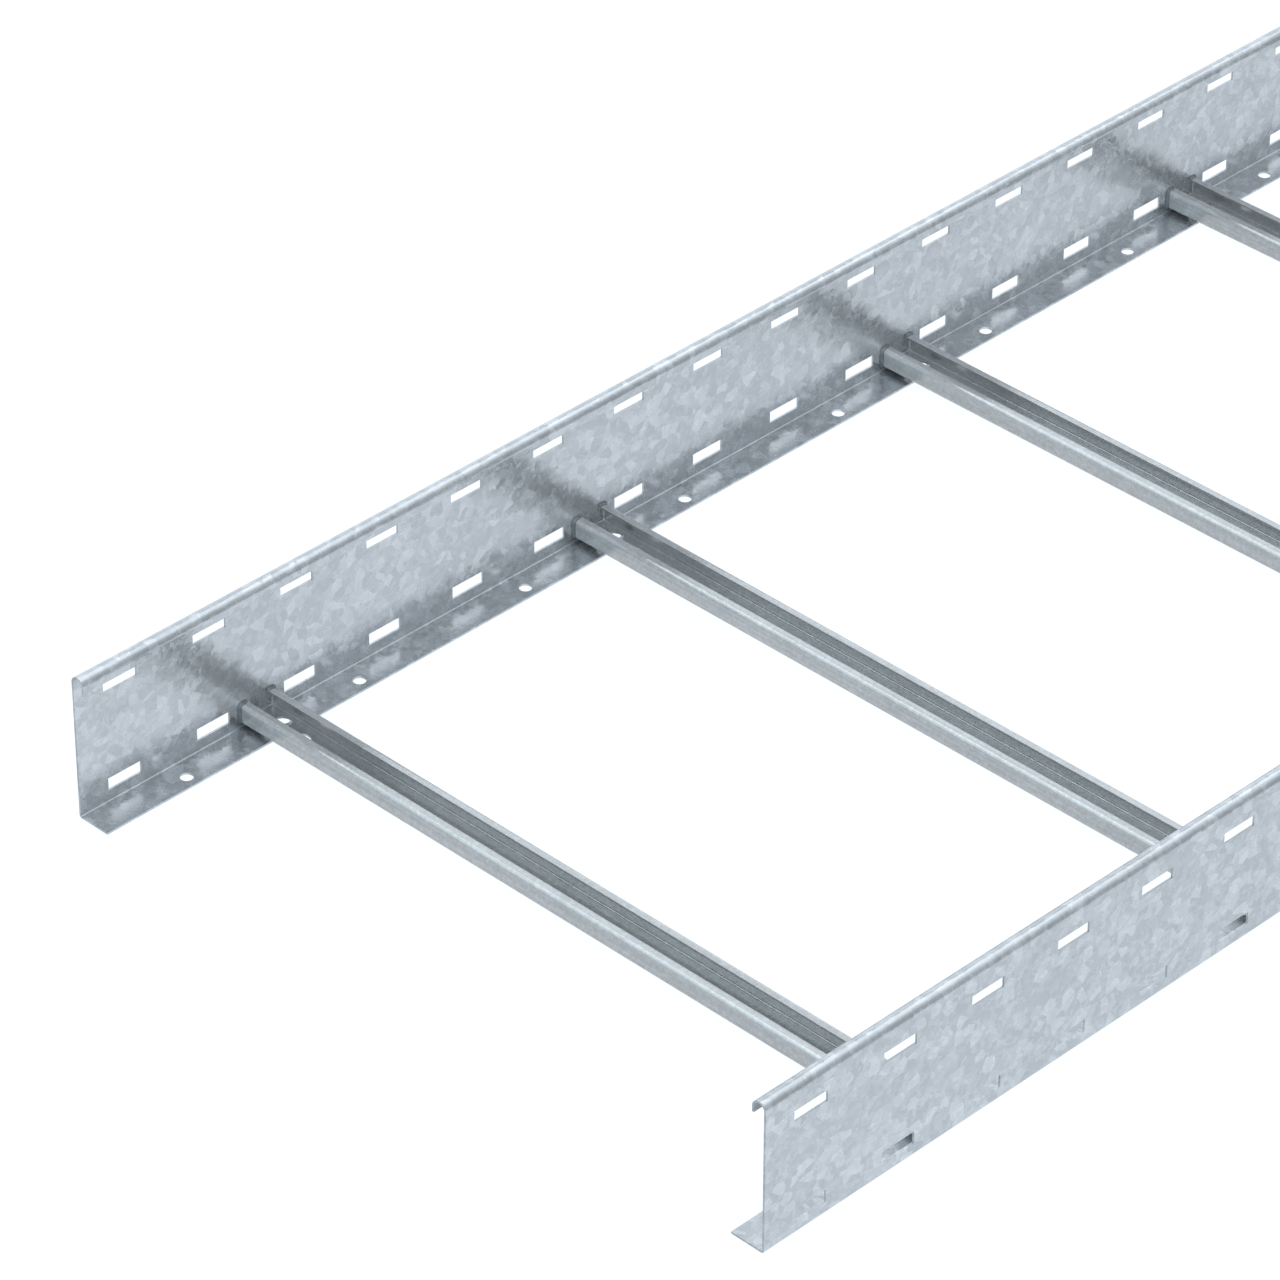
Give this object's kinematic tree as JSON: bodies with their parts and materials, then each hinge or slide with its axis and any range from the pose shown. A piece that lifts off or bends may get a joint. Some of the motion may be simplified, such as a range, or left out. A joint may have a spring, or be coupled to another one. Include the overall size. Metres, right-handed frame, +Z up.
{
  "type": "cable ladder section",
  "caption": "Straight galvanised cable ladder with slotted hooked side rails, inward foot flanges and open C-channel rungs, for carrying cables along a run.",
  "frame": {"origin": "centre of the section's footprint on the floor, at the underside of the side rails' foot flanges", "axes": "+Y along the side rails, +X across the rungs to the right-hand rail, +Z up towards the rolled top hooks and the open side of the rungs"},
  "size_m": [0.6, 3, 0.11],
  "materials": {
    "side_rails": "hot-dip galvanised, soft zinc spangle",
    "rungs": "hot-dip galvanised, soft zinc spangle"
  },
  "bodies": {
    "root": {"left_side_rail": "side_rails", "right_side_rail": "side_rails", "rung_01": "rungs", "rung_02": "rungs", "rung_03": "rungs", "rung_04": "rungs", "rung_05": "rungs", "rung_06": "rungs", "rung_07": "rungs", "rung_08": "rungs", "rung_09": "rungs", "rung_10": "rungs"}
  },
  "joints": []
}
